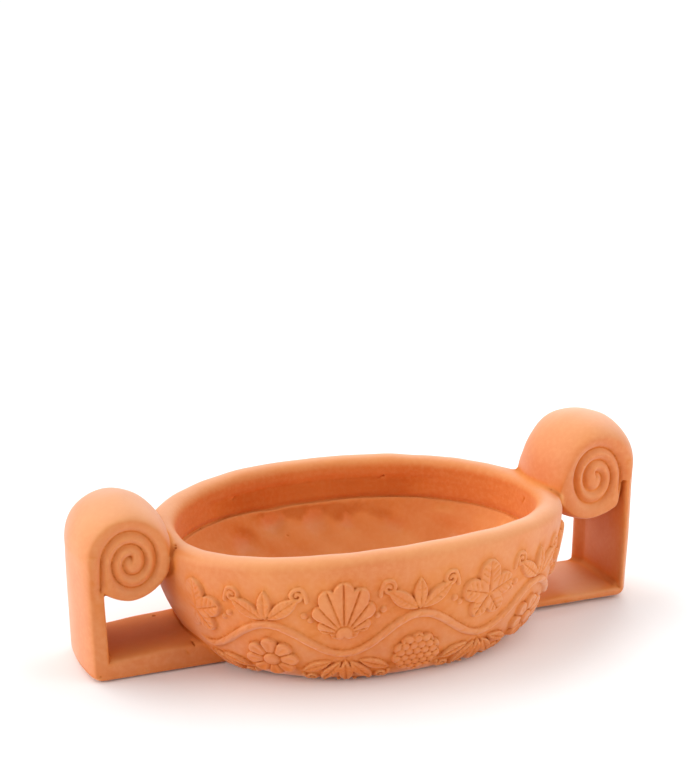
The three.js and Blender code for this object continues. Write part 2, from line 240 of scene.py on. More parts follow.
@dataclass
class BowlForm:
    """Sizes of the bowl, and the field of its clay.

    A pair of sizes is where something begins and where it is full.
    """

    half_length: float = 165.0
    half_width: float = 123.4
    height: float = 102.2
    rim_thickness: float = 20.5
    rim_crown: float = 8.2
    squareness: float = 2.2
    round_in: float = 47.5
    lean: float = 11.6
    wall_squareness: float = 2.59
    wall_end: float = 0.9995
    side_share: float = 0.46
    offset: float = -2.65
    sag: tuple[float, float, float, float] = (1.4, -1.5, -3.1, -1.2)
    sag_end: float = 1.1
    band_depth: float = 32.5
    crease_step: float = 2.0
    floor: float = 18.0
    fullness: float = 5.0
    crease_lift: float = 7.0
    crease_width: float = 1.4
    crease_depth: float = 1.8
    crease_edge: float = 0.8
    ledge: Pair = (0.99, 1.01)
    lip_depth: float = 12.0
    lip_width: float = 6.0
    recess: float = 1.5
    recess_back: Pair = (66.0, 94.0)
    # Where the painted shadow under the lip lies: how far back, and how squarely the wall faces forward.
    lip_shadow_back: Pair = (60.0, 94.0)
    lip_shadow_facing: Pair = (0.75, 0.95)
    lining_edge: float = 8.0
    lining_floor: float = 4.0
    foot_round: float = 2.5
    wiping: float = 0.08
    wipe_strokes: tuple[tuple[float, float, float, float], ...] = ((1.0, 0.55, 1.6, 1.0), (0.7, 1.3, 2.0, 0.6))
    wipe_drift: Pair = (0.031, 0.023)
    wave_fade: Pair = (2.0, 9.0)
    basin_waves: HandWaves = HandWaves(seed=7, height=0.9, shortest=17.0, longest=60.0)
    dents: tuple[tuple[float, float, float, float], ...] = (
        (-42.0, 93.0, 10.0, 5.4),
        (-4.0, 94.0, 10.0, 4.8),
        (24.0, 90.0, 10.0, 2.6),
        (-74.0, 78.0, 12.0, 3.4),
        (62.0, 80.0, 13.0, 3.0),
        (104.0, 46.0, 14.0, 2.8),
        (34.0, 64.0, 15.0, 1.8),
        (-24.0, 74.0, 13.0, 2.0),
    )

    @property
    def wall_top(self) -> float:
        """Height where the wall ends and the rim's round begins."""
        return self.height - self.rim_crown

    @property
    def lip(self) -> float:
        """Height of the lip's lower edge."""
        return self.height - self.lip_depth

    def oval(self, x: Array, y: Array, a: Array | float, b: Array | float) -> tuple[Array, Array, Array]:
        """Size up points against an oval of the bowl's plan.

        Args:
            x: Places along the bowl, from its middle.
            y: Places across the bowl.
            a: Half-length of the oval.
            b: Half-width of the oval.

        Returns:
            Size of the oval through each point, as a share, and its growth along x and y.
        """
        q = self.squareness
        u, v = np.abs(x) / a, np.abs(y) / b
        size = (u**q + v**q) ** (1.0 / q) + TINY
        return size, (u / size) ** (q - 1.0) / a, (v / size) ** (q - 1.0) / b

    def past_oval(self, x: Array, y: Array, inset: float) -> Array:
        """Distance outside the oval that lies at an inset from the rim's edge."""
        size, along, across = self.oval(x, y, self.half_length - inset, self.half_width - inset)
        return (size - 1.0) / np.hypot(along, across)

    def level(self, x: Array, y: Array, z: Array) -> tuple[Array, Array]:
        """Height in the bowl before its rim sagged, and the angle round the oval.

        Args:
            x: Places along the bowl, from its middle.
            y: Places across the bowl.
            z: Heights.

        Returns:
            Heights without the sag, and angles.
        """
        u, v = x / self.half_length, y / self.half_width
        half = self.squareness / 2.0
        angle = np.arctan2(np.sign(v) * np.abs(v) ** half, np.sign(u) * np.abs(u) ** half)
        ends, front, sides, corners = self.sag
        rise = ends * np.cos(angle) + front * np.sin(angle)
        rise += sides * np.cos(2.0 * angle) + corners * np.sin(2.0 * angle)
        size = np.minimum(self.oval(x, y, self.half_length, self.half_width)[0], self.sag_end)
        return z - z / self.height * size * rise, angle

    def wall(self, level: Array) -> tuple[Array, Array]:
        """Inset of the outer wall from the rim's edge, and its slope.

        Args:
            level: Heights without the sag.

        Returns:
            Inset and slope at each height.
        """
        p = self.wall_squareness
        share = np.clip(1.0 - level / self.wall_top, 0.0, self.wall_end)
        full = share**p
        inset = self.round_in * (1.0 - (1.0 - full) ** (1.0 / p)) + self.lean * np.sqrt(full)
        slope = self.round_in * (1.0 - full) ** (1.0 / p - 1.0) * share ** (p - 1.0)
        slope += self.lean * p / 2.0 * share ** (p / 2.0 - 1.0)
        return inset, -slope / self.wall_top

    def outside(self, x: Array, y: Array, level: Array) -> Array:
        """Field of the bowl as if it were solid.

        Args:
            x: Places along the bowl, from its middle.
            y: Places across the bowl.
            level: Heights without the sag.

        Returns:
            The field.
        """
        q = self.squareness
        inset, slope = self.wall(level)
        a, b = self.half_length - inset, self.half_width - self.side_share * inset
        size, along, across = self.oval(x, y, a, b)
        drift = (np.abs(x) / a) ** q / a + self.side_share * (np.abs(y) / b) ** q / b
        drift *= slope * size ** (1.0 - q)
        return (size - 1.0) / np.sqrt(along * along + across * across + drift * drift)

    def basin(self, x: Array, y: Array) -> tuple[Array, Array]:
        """Height and steepness of the basin before its dents.

        Args:
            x: Places along the bowl, from its middle.
            y: Places across the bowl.

        Returns:
            Height and steepness at each place.
        """
        a = self.half_length - self.rim_thickness - self.crease_step
        b = self.half_width - self.rim_thickness - self.crease_step
        size, along, across = self.oval(x, y, a, b)
        inner = np.minimum(size, 1.0)
        rise = self.height - self.band_depth - self.crease_step - self.floor
        lift = self.crease_lift * np.clip(-x / self.half_length, 0.0, 1.0) ** 2
        height = self.floor + (rise + lift) * inner**self.fullness
        slope = rise * self.fullness * inner ** (self.fullness - 1.0) * np.hypot(along, across)
        return height, slope * (1.0 - ramp(size, *self.ledge))

    def cavity(self, points: Array, level: Array, band: Array) -> Array:
        """Field of the hollow: an upright band under a lip, a crease, and a pressed basin with finger dents.

        Args:
            points: Places in the clay.
            level: Heights without the sag.
            band: Distance outside the band's oval.

        Returns:
            The field, negative inside the hollow.
        """
        y = points[:, 1]
        basin, slope = self.basin(points[:, 0] - self.offset, y)
        pressed = (basin - level) / np.sqrt(1.0 + slope * slope)
        for dent_x, dent_y, reach, depth in self.dents:
            deep = self.basin(np.array([dent_x - self.offset]), np.array([dent_y]))[0][0]
            far = (points[:, 0] - dent_x) ** 2 + (y - dent_y) ** 2 + (level - deep) ** 2
            pressed -= depth * np.exp(-far / reach**2)
        pressed += self.basin_waves.lift(points) * ramp(-band, *self.wave_fade)
        drift = self.wipe_drift[0] * points[:, 0] + self.wipe_drift[1] * y
        marks = np.zeros_like(band)
        for height, fine, swing, slow in self.wipe_strokes:
            marks += height * np.sin(level * fine + swing * np.sin(slow * drift))
        recess = self.recess * ramp(y, *self.recess_back) * ramp(self.lip - level, 0.0, self.lip_width)
        upright = band - recess + self.wiping * marks
        fold = self.crease_depth * np.exp(-(upright * upright + pressed * pressed) / self.crease_width**2)
        return trim(upright, pressed, self.crease_edge) - fold

    def lining(self, points: Array, normals: Array) -> tuple[Array, Array]:
        """Find the bowl's lining, and the painted shadow on its back under the lip.

        Args:
            points: Points of the skin.
            normals: Ways out of the clay at the points.

        Returns:
            Shares from 0 to 1: how far each point is part of the lining, and of the stain.
        """
        x, y = points[:, 0] - self.offset, points[:, 1]
        level = self.level(x, y, points[:, 2])[0]
        inner = 1.0 - ramp(self.past_oval(x, y, self.rim_thickness), 0.0, self.lining_edge)
        inner *= level > self.basin(x, y)[0] - self.lining_floor
        under_lip = 1.0 - ramp(level, self.lip - self.lip_width, self.lip)
        back = ramp(y, *self.lip_shadow_back) * ramp(-normals[:, 1], *self.lip_shadow_facing)
        return inner, inner * under_lip * back

    def clay(self, points: Array, relief: VineRelief) -> Array:
        """Field of the bowl's clay.

        Args:
            points: Places in the clay, one row each.
            relief: The relief on the outer wall.

        Returns:
            The field.
        """
        x, y, z = points[:, 0] - self.offset, points[:, 1], points[:, 2]
        level, angle = self.level(x, y, z)
        outside = self.outside(x, y, level) - relief.height(angle, level)
        thick = self.rim_thickness
        band, edge = self.past_oval(x, y, thick), self.past_oval(x, y, 0.0)
        wall = np.maximum(outside, -self.cavity(points, level, band))
        half = thick / 2.0
        u = (-thick * edge / np.maximum(band - edge, 1.0) - half) / half
        v = (level - self.wall_top) / self.rim_crown
        round_rim = np.hypot(u, v) + TINY
        rim = (round_rim - 1.0) * round_rim / np.maximum(np.hypot(u / half, v / self.rim_crown), TINY)
        return trim(np.where(level > self.wall_top, rim, wall), -z, self.foot_round)


@dataclass(frozen=True)
class BendFill:
    """What fills the open side of a bend: a middle leaf, and on each side small leaves, a curl and beads.

    Each row begins with the step from the bend's middle and the run down the wall. A leaf has a lean,
    length and width, a bead has its radius, and turn is the way that the leaves point when they don't lean.
    """

    turn: float
    blades: tuple[tuple[float, float, float, float, float], ...]
    tendril: Pair
    beads: tuple[Triple, ...]


ABOVE = BendFill(
    turn=0.0,
    blades=((0.0, 25.0, 0.0, 24.0, 10.5), (13.5, 28.0, 0.95, 29.0, 11.5)),
    tendril=(24.5, 17.5),
    beads=((28.5, 33.5, 2.6), (33.0, 37.5, 2.2)),
)
BELOW = BendFill(
    turn=math.pi,
    blades=((0.0, 92.0, 0.0, 31.0, 12.5), (13.0, 90.0, -0.62, 31.0, 11.5), (23.5, 82.0, -1.15, 27.0, 10.0)),
    tendril=(30.0, 98.0),
    beads=((19.5, 105.5, 2.6), (7.0, 107.5, 2.4)),
)


@dataclass
class VineRelief:
    """The vine on the outer wall: a sheet of heights, unrolled round the rim and down the wall.

    A scored line's pair of sizes is its width and depth.
    """

    bowl: BowlForm
    cell: float = 0.5
    tall: float = 3.3
    edge: float = 1.3
    edge_out: float = 0.3
    edge_power: float = 2.2
    bends: int = 16
    line: float = 55.0
    swing: float = 14.0
    stem_half: float = 3.15
    stem_turns: float = 9.0
    stem_lean: float = 0.9
    stem_cut: float = 0.5
    motif_offset: float = 19.0
    bare: float = 44.0
    full: float = 66.0
    rib: Pair = (0.9, 1.3)
    side_vein: Pair = (0.7, 0.75)
    vein_gap: float = 4.6
    petal_cut: Pair = (0.9, 1.7)
    petal_dip: Pair = (2.0, 0.7)
    boss: float = 6.2
    ring: float = 6.6
    boss_ring: Pair = (0.9, 1.5)
    fan_cut: Pair = (0.95, 1.6)
    fan_step: float = math.radians(19.0)
    fan_root: float = 0.62
    fan_boss: float = 5.8
    fan_ring: Pair = (0.9, 1.4)
    fan_boss_tall: float = 0.7
    blade_tall: float = 0.85
    blade_vein: Pair = (0.8, 1.1)
    blade_stroke: Pair = (0.6, 0.6)
    blade_gap: float = 3.6
    berry: float = 3.5
    berry_gap: float = 6.6
    berry_tall: float = 1.9
    berry_sink: float = 1.3
    curl: float = 6.2
    curl_width: float = 3.2
    bead_tall: float = 1.9
    sheet: Array = field(init=False)
    round_run: tuple[Array, Array] = field(init=False)
    down_run: tuple[Array, Array] = field(init=False)

    def __post_init__(self) -> None:
        """Measure the wall and carve the sheet."""
        bowl = self.bowl
        angle = np.linspace(0.0, TURN, 4001)
        power = 2.0 / bowl.squareness
        c, s = np.cos(angle - math.pi / 2.0), np.sin(angle - math.pi / 2.0)
        x = bowl.half_length * np.sign(c) * np.abs(c) ** power
        y = bowl.half_width * np.sign(s) * np.abs(s) ** power
        self.round_run = (angle, np.append(0.0, np.cumsum(np.hypot(np.diff(x), np.diff(y)))))
        level = np.append(bowl.wall_top * (1.0 - np.linspace(0.0, 1.0, 2001) ** 2), 0.0)
        inset = bowl.wall(level)[0]
        down = np.append(0.0, np.cumsum(np.hypot(np.diff(level), np.diff(inset))))
        self.down_run = (level[::-1], down[::-1])
        columns = int(round(self.length / self.cell))
        self.sheet = np.zeros((int(down[-1] / self.cell) + 2, columns), np.float32)
        self.carve()

    @property
    def length(self) -> float:
        """Length of the rim's edge, once round."""
        return float(self.round_run[1][-1])

    def height(self, angle: Array, level: Array) -> Array:
        """Height of the relief at places on the wall.

        Args:
            angle: Angles round the bowl.
            level: Heights without the sag.

        Returns:
            Millimetres that the relief stands out.
        """
        rows, columns = self.sheet.shape
        along = np.interp(np.mod(angle + math.pi / 2.0, TURN), *self.round_run) / self.length * columns
        down = np.clip(np.interp(level, *self.down_run) / self.cell, 0.0, rows - 1.001)
        column, row = along.astype(np.int32), down.astype(np.int32)
        right, share, part = (column + 1) % columns, along - column, down - row
        column %= columns
        upper = self.sheet[row, column] * (1.0 - share) + self.sheet[row, right] * share
        lower = self.sheet[row + 1, column] * (1.0 - share) + self.sheet[row + 1, right] * share
        return ((upper * (1.0 - part) + lower * part) * (level < self.bowl.wall_top)).astype(np.float32)

    def patch(self, along: float, down: float, reach: float) -> Patch:
        """Pick the patch of the sheet round a point.

        Args:
            along: The point's run round the rim.
            down: The point's run down the wall.
            reach: Half of the patch's size.

        Returns:
            The patch.
        """
        rows, columns = self.sheet.shape
        cell_wide = self.length / columns
        wide = np.arange(int((along - reach) / cell_wide), int((along + reach) / cell_wide) + 2)
        top = max(0, int((down - reach) / self.cell))
        tall = np.arange(top, min(rows - 1, int((down + reach) / self.cell) + 1) + 1)
        across, fall = (wide * cell_wide - along)[None, :], (tall * self.cell - down)[:, None]
        across, fall = np.broadcast_arrays(across, fall)
        return Patch(tall[:, None], (wide % columns)[None, :], across, fall)

    def raise_clay(self, patch: Patch, lift: Array) -> None:
        """Raise a patch to at least the given heights."""
        now = self.sheet[patch.rows, patch.columns]
        self.sheet[patch.rows, patch.columns] = np.maximum(now, lift)

    def island(self, inside: Array, tall: float) -> Array:
        """Height of a flat island with a rounded edge, from the depth inside its outline."""
        share = np.clip((inside + self.edge_out) / self.edge, 0.0, 1.0)
        return tall * (1.0 - (1.0 - share) ** self.edge_power)

    @staticmethod
    def score(distance: Array, width: float, depth: float) -> Array:
        """Depth of a tool's line at a distance from its middle."""
        return depth * np.exp(-((distance / width) ** 2))

    def motif(self, kind: MotifKind, along: float, down: float, turn: float) -> None:
        """Carve one of the main motifs.

        Args:
            kind: Which motif.
            along: Run of its middle round the rim.
            down: Run of its middle down the wall.
            turn: Way its tip points, 0 for up.
        """
        outline = OUTLINES[kind]
        patch = self.patch(along, down, outline.radius * 1.3)
        radius = np.hypot(patch.across, patch.fall) + TINY
        angle = np.arctan2(patch.across, -patch.fall) - turn
        spots = MotifSpots(outline, radius, angle, outline.inside(radius, angle))
        dress = {
            MotifKind.LEAF: self.leaf,
            MotifKind.ROSETTE: self.rosette,
            MotifKind.PALMETTE: self.palmette,
            MotifKind.GRAPES: self.grapes,
        }[kind]
        self.raise_clay(patch, np.maximum(self.island(spots.inside, self.tall) + dress(spots), 0.0))

    def leaf(self, spots: MotifSpots) -> Array:
        """Veins of a leaf: one down each lobe, with short side veins.

        Args:
            spots: Places on the leaf.

        Returns:
            Change of height.
        """
        off = spots.off_ray(0.0)
        ahead, beside = spots.radius * np.cos(off), spots.radius * np.sin(off)
        on = ramp(spots.inside, 0.6, 2.0)
        rung = np.mod(ahead - 0.75 * np.abs(beside), self.vein_gap) - self.vein_gap / 2.0
        between = ramp(np.abs(beside), 0.6, 1.6) * ramp(ahead, 5.0, 8.0)
        change = -self.score(beside, *self.rib) * on - self.score(rung, *self.side_vein) * on * between
        return change + 0.5 * np.exp(-((spots.radius / 4.0) ** 2))

    def rosette(self, spots: MotifSpots) -> Array:
        """Petals and boss of a rosette.

        Args:
            spots: Places on the rosette.

        Returns:
            Change of height.
        """
        out = ramp(spots.radius, 6.0, 8.0)
        change = -self.score(spots.radius * np.sin(spots.off_ray(0.5)), *self.petal_cut) * out
        middle = self.score(spots.radius * np.sin(spots.off_ray(0.0)), *self.petal_dip)
        change -= middle * out * ramp(spots.inside, 1.5, 5.0)
        change -= self.score(spots.radius - self.ring, *self.boss_ring)
        return change + dome(spots.radius / self.boss)

    def palmette(self, spots: MotifSpots) -> Array:
        """Ribs of a palmette, fanned from a half-round base.

        Args:
            spots: Places on the palmette.

        Returns:
            Change of height.
        """
        ahead = spots.radius * np.cos(spots.angle) + self.fan_root * spots.outline.radius
        beside = spots.radius * np.sin(spots.angle)
        reach, way = np.hypot(ahead, beside), np.arctan2(beside, ahead)
        off = way - np.round(way / self.fan_step) * self.fan_step
        change = -self.score(reach * np.sin(off), *self.fan_cut) * ramp(reach, 6.5, 9.0)
        change -= self.score(reach - self.ring, *self.fan_ring)
        return change + self.fan_boss_tall * dome(reach / self.fan_boss)

    def grapes(self, spots: MotifSpots) -> Array:
        """Berries of a bunch of grapes, packed inside its outline.

        Args:
            spots: Places on the bunch.

        Returns:
            Change of height.
        """
        gap, row_gap = self.berry_gap, self.berry_gap * math.sqrt(3.0)
        ahead, beside = spots.radius * np.cos(spots.angle), spots.radius * np.sin(spots.angle)
        nearest = np.full_like(spots.radius, gap)
        for shift in (0.0, 0.5):
            u, v = beside / gap - shift, ahead / row_gap - shift
            nearest = np.minimum(nearest, np.hypot((u - np.round(u)) * gap, (v - np.round(v)) * row_gap))
        return (self.berry_tall * dome(nearest / self.berry) - self.berry_sink) * ramp(spots.inside, 0.0, 1.5)

    def stem(self) -> None:
        """Carve the vine's stem, a round band that swings round the whole bowl."""
        rows, columns = self.sheet.shape
        along = np.arange(columns)[None, :] * (TURN / columns) * self.bends / 2.0
        down = np.arange(rows)[:, None] * self.cell
        slope = self.swing * np.sin(along) * (self.bends * math.pi / self.length)
        off = (down - self.line + self.swing * np.cos(along)) / np.sqrt(1.0 + slope * slope)
        lift = self.tall * dome(off / self.stem_half)
        twist = ramp(np.cos(along * self.stem_turns + off * self.stem_lean), 0.55, 1.0)
        self.sheet = np.maximum(self.sheet, lift - self.stem_cut * twist * (lift > 0.9)).astype(np.float32)

    def tendril(self, along: float, down: float, way: float, flip: float) -> None:
        """Lay a thin round cord of clay that rolls up into a curl.

        Args:
            along: Run of the curl's middle round the rim.
            down: Run of the curl's middle down the wall.
            way: Side that the curl rolls to, -1 or 1.
            flip: 1 for a curl that stands on its tail, -1 for one that hangs.
        """
        turn = np.linspace(0.0, 1.45 * TURN, 110)
        radius = self.curl * (1.0 - turn / (1.75 * TURN))
        across = way * radius * np.cos(turn)
        tail = 0.9 * self.curl * np.clip(0.15 - turn / TURN, 0.0, 1.0) * 6.0
        fall = flip * (tail - radius * np.sin(turn))
        patch = self.patch(along, down, float(np.abs([across, fall]).max()) + self.curl_width)
        nearest = np.full(patch.across.shape, np.inf)
        for u, v in zip(across, fall):
            nearest = np.minimum(nearest, np.hypot(patch.across - u, patch.fall - v))
        self.raise_clay(patch, self.bead_tall * dome(nearest / (self.curl_width / 2.0)))

    def blade(self, along: float, down: float, turn: float, length: float, width: float) -> None:
        """Carve a small pointed leaf with a mid vein and side strokes.

        Args:
            along: Run of its middle round the rim.
            down: Run of its middle down the wall.
            turn: Way its tip points, 0 for up.
            length: Its length.
            width: Its width.
        """
        patch = self.patch(along, down, length * 0.6)
        ahead = patch.across * math.sin(turn) - patch.fall * math.cos(turn)
        beside = patch.across * math.cos(turn) + patch.fall * math.sin(turn)
        share = np.clip(1.0 - (2.0 * ahead / length) ** 2, 0.0, 1.0)
        inside = width / 2.0 * share - np.abs(beside)
        lift = self.island(inside, self.tall * self.blade_tall)
        lift -= self.score(beside, *self.blade_vein) * ramp(inside, 0.3, 1.2)
        stroke = np.mod(ahead - 0.8 * np.abs(beside), self.blade_gap) - self.blade_gap / 2.0
        between = ramp(inside, 0.5, 1.5) * ramp(np.abs(beside), 0.5, 1.3)
        lift -= self.score(stroke, *self.blade_stroke) * between
        self.raise_clay(patch, np.maximum(lift, 0.0))

    def bead(self, along: float, down: float, radius: float) -> None:
        """Set a round bead on the wall."""
        patch = self.patch(along, down, radius + 1.0)
        self.raise_clay(patch, self.bead_tall * dome(np.hypot(patch.across, patch.fall) / radius))

    def carve(self) -> None:
        """Carve the whole vine: stem, a motif in each bend, and small leaves, curls and beads between.

        The relief dies away behind the handles.
        """
        self.stem()
        kinds = list(MotifKind)
        for bend in range(self.bends):
            along = bend / self.bends * self.length
            flip = 1.0 if bend % 2 == 0 else -1.0
            if bend % (self.bends // 2) != self.bends // 4:
                turn = math.pi if flip > 0.0 else 0.0
                self.motif(kinds[bend % len(kinds)], along, self.line + flip * self.motif_offset, turn)
            self.fill(along, flip)
        run = np.arange(self.sheet.shape[1]) * (self.length / self.sheet.shape[1])
        away = np.abs(np.mod(run, self.length / 2.0) - self.length / 4.0)
        self.sheet *= ramp(away, self.bare, self.full)[None, :].astype(np.float32)

    def fill(self, along: float, flip: float) -> None:
        """Fill the open side of a bend.

        Args:
            along: Run of the bend round the rim.
            flip: 1 where the bend's main motif hangs under the stem, -1 where it stands on it.
        """
        fill = ABOVE if flip > 0.0 else BELOW
        for way in (-1.0, 1.0):
            for step, down, lean, length, width in fill.blades:
                self.blade(along + way * step, down, fill.turn + way * lean, length, width)
            self.tendril(along + way * fill.tendril[0], fill.tendril[1], way, flip)
            for step, down, radius in fill.beads:
                self.bead(along + way * step, down, radius)


@dataclass(frozen=True)
class SpiralLine:
    """The spiral pressed into a volute's faces: where it begins, how it closes in, and its groove."""

    radius: float
    pitch: float
    squeeze: float
    inset: float
    drop: float
    start: float
    flare: float
    fade: float
    end: float = 4.65 * math.pi
    end_fade: float = 0.5
    groove_width: float = 1.6
    groove_depth: float = 4.6
    groove_round: float = 0.8
    shoulder_width: float = 4.0
    shoulder_depth: float = 1.6

    def depth(self, across: Array, rise: Array) -> Array:
        """Depth of the groove on a volute's face.

        Args:
            across: Places out from the volute's middle.
            rise: Heights from the volute's middle.

        Returns:
            Depth of the groove and of its soft shoulders at each place.
        """
        u, v = (across + self.inset) / self.squeeze, rise + self.drop
        radius, angle = np.hypot(u, v), np.arctan2(v, u)
        wanted = np.round((self.radius - radius) / self.pitch - angle / TURN)
        lowest = np.where(angle < self.start, 1.0, 0.0)
        turns = np.clip(wanted, lowest, np.floor((self.end - angle) / TURN))
        line = self.radius - self.pitch * (angle / TURN + turns)
        first = turns < 0.5
        straight = 1.0 + self.flare * (1.0 / np.maximum(np.cos(angle), 0.5) - 1.0)
        line = np.where(first & (angle < 0.0), line * straight, line)
        off = np.abs(radius - line) * (1.0 + self.squeeze) / 2.0
        groove = self.groove_depth * np.exp(-np.hypot(off, self.groove_round) / self.groove_width)
        groove += self.shoulder_depth * np.exp(-((off / self.shoulder_width) ** 2))
        groove *= ramp(self.end - angle - TURN * turns, 0.0, self.end_fade)
        return groove * np.where(first, ramp(angle, self.start, self.start + self.fade), 1.0)


@dataclass
class HandleForm:
    """Sizes of one strap handle, and the field of its clay.

    An edge's pair of sizes is how far the surface falls back at the edge, and how late it does.
    """

    side: float
    crown: float
    under_crown: float
    volute_radius: float
    volute_height: float
    tuck: float
    fill: float
    upright_thickness: float
    bar_thickness: float
    bar_rise: float
    bar_edge: Pair
    swell: float
    front_edge: Pair
    back_edge: Pair
    foot_edge: Pair
    fillet: float
    seam: float
    spiral: SpiralLine
    reach: float = 233.3
    width: float = 74.2
    crown_power: float = 1.75
    heel: float = 12.0
    heel_edge: float = 6.0
    inner_end: float = 100.0
    swell_back: Pair = (20.0, 34.0)
    fillet_end: Pair = (0.85, 1.0)
    roll_seam: float = 3.0
    seam_rest: float = 0.02
    seam_fade: Pair = (27.0, 33.0)
    spiral_face: Pair = (0.7, 0.9)
    overlap: float = 3.0
    tuck_from: float = -0.5 * math.pi
    tuck_angle: float = 0.4 * math.pi
    tuck_end: float = 0.2 * math.pi
    fill_angle: float = -0.72 * math.pi
    fill_spread: float = 0.5 * math.pi
    underside: Pair = (-0.6, 0.1)

    @staticmethod
    def corner(u: Array, v: Array, radius: Array) -> Array:
        """Field of a square corner that is rounded, from the distances past its two sides."""
        u, v = u + radius, v + radius
        return np.hypot(np.maximum(u, 0.0), np.maximum(v, 0.0)) + np.minimum(np.maximum(u, v), 0.0) - radius

    @staticmethod
    def fall_back(share: Array, depth: Array | float, power: Array | float) -> Array:
        """How far a softened surface has fallen back at a share of the strap's half width."""
        return depth * (1.0 - (1.0 - np.minimum(share, NEAR_EDGE) ** power) ** (1.0 / power))

    def strap(self, x: Array, y: Array, z: Array, share: Array) -> Array:
        """Field of the bent strap: the bar on the floor, the heel and the upright.

        Args:
            x: Places out from the bowl.
            y: Places across the strap.
            z: Heights.
            share: Place across the strap, 0 at the middle and 1 at an edge.

        Returns:
            The field.
        """
        half, out = self.width / 2.0, x - self.reach
        heel = self.heel_edge + (self.heel - self.heel_edge) * (1.0 - np.minimum(share, 1.0) ** 2)
        past_side = out + self.fall_back(share, self.crown, self.crown_power)
        past_foot = self.fall_back(share, *self.foot_edge) - z
        side = softened(out, share, half, self.crown, self.crown_power)
        shell = np.maximum(side, softened(-z, share, half, *self.foot_edge))
        shell = np.maximum(shell, self.corner(past_side, past_foot, heel))
        inside = self.reach - self.upright_thickness - self.swell * ramp(y, *self.swell_back) - x
        edge = [np.where(y > 0.0, back, front) for back, front in zip(self.back_edge, self.front_edge)]
        top = z - self.bar_thickness - self.bar_rise * np.maximum(inside, 0.0)
        past_inner = inside + self.fall_back(share, *edge)
        past_bar = top + self.fall_back(share, *self.bar_edge)
        rest = np.minimum(past_inner, past_bar) - knit(past_inner, past_bar, self.fillet)
        bend = np.minimum(softened(inside, share, half, *edge), softened(top, share, half, *self.bar_edge))
        bend -= rest * (1.0 - ramp(share, *self.fillet_end))
        ends = np.maximum(z - self.volute_height - self.overlap, self.inner_end - x)
        return np.maximum(np.maximum(shell, bend), ends)

    def roll(self, across: Array, rise: Array, share: Array) -> Array:
        """Field of the rolled end: tucked in at the upright, filled out where it meets the bowl.

        Args:
            across: Places out from the volute's middle.
            rise: Heights from the volute's middle.
            share: Place across the strap, 0 at the middle and 1 at an edge.

        Returns:
            The field.
        """
        angle = np.arctan2(rise, across)
        below = ramp(-angle, 0.0, self.tuck_end)
        tucked = np.clip((angle - self.tuck_from) / self.tuck_angle, 0.0, 1.0) * below
        off = np.abs(np.mod(angle - self.fill_angle + math.pi, TURN) - math.pi)
        filled = 1.0 - ramp(off, 0.0, self.fill_spread)
        radius = self.volute_radius - self.tuck * tucked + self.fill * filled
        under = (angle < 0.0) & (angle > self.tuck_from)
        upper = ramp(np.where(under, -below, np.sin(angle)), *self.underside)
        crown = self.under_crown + (self.crown - self.under_crown) * upper
        return softened(np.hypot(across, rise) - radius, share, self.width / 2.0, crown, self.crown_power)

    def clay(self, points: Array) -> Array:
        """Field of the handle's clay.

        Args:
            points: Places in the clay, one row each.

        Returns:
            The field.
        """
        x, y, z = self.side * points[:, 0], points[:, 1], points[:, 2]
        share = np.abs(y) / (self.width / 2.0)
        across, rise = x - self.reach + self.volute_radius, z - self.volute_height
        seam = self.roll_seam * (1.0 + self.seam_rest - ramp(across, *self.seam_fade))
        clay = knit(self.strap(x, y, z, share), self.roll(across, rise, share), seam)
        return clay + self.spiral.depth(across, rise) * ramp(share, *self.spiral_face)


LEFT_HANDLE = HandleForm(
    side=-1.0,
    crown=9.0,
    under_crown=5.5,
    volute_radius=37.5,
    volute_height=95.0,
    tuck=4.0,
    fill=0.0,
    upright_thickness=19.2,
    bar_thickness=19.3,
    bar_rise=0.067,
    bar_edge=(8.0, 3.0),
    swell=0.0,
    front_edge=(4.0, 7.0),
    back_edge=(4.0, 7.0),
    foot_edge=(4.0, 5.0),
    fillet=3.5,
    seam=5.0,
    spiral=SpiralLine(26.9, 9.9, 0.85, 2.6, 4.4, -0.25 * math.pi, flare=1.0, fade=0.35),
)
RIGHT_HANDLE = HandleForm(
    side=1.0,
    crown=14.5,
    under_crown=6.0,
    volute_radius=40.2,
    volute_height=116.1,
    tuck=11.0,
    fill=8.0,
    upright_thickness=18.2,
    bar_thickness=12.0,
    bar_rise=0.0,
    bar_edge=(5.0, 3.0),
    swell=5.6,
    front_edge=(4.5, 2.6),
    back_edge=(4.0, 3.0),
    foot_edge=(5.5, 2.4),
    fillet=7.0,
    seam=6.0,
    spiral=SpiralLine(28.8, 10.5, 0.8, 3.7, 8.1, -0.24 * math.pi, flare=0.5, fade=0.5),
    tuck_from=-0.36 * math.pi,
    tuck_angle=0.2 * math.pi,
)


@dataclass(frozen=True)
class Flaw:
    """A pit, nick or scratch: a short stroke of a round tool, from one point to another."""

    start: Triple
    end: Triple
    radius: float

    def distance(self, points: Array) -> Array:
        """Distance outside the stroke.

        Args:
            points: Places in the clay.

        Returns:
            Millimetres outside the tool, negative inside.
        """
        start, run = np.array(self.start, np.float32), np.subtract(self.end, self.start).astype(np.float32)
        rest = points - start
        share = np.clip(rest @ run / max(float(run @ run), TINY), 0.0, 1.0)
        return np.linalg.norm(rest - share[:, None] * run, axis=1) - self.radius


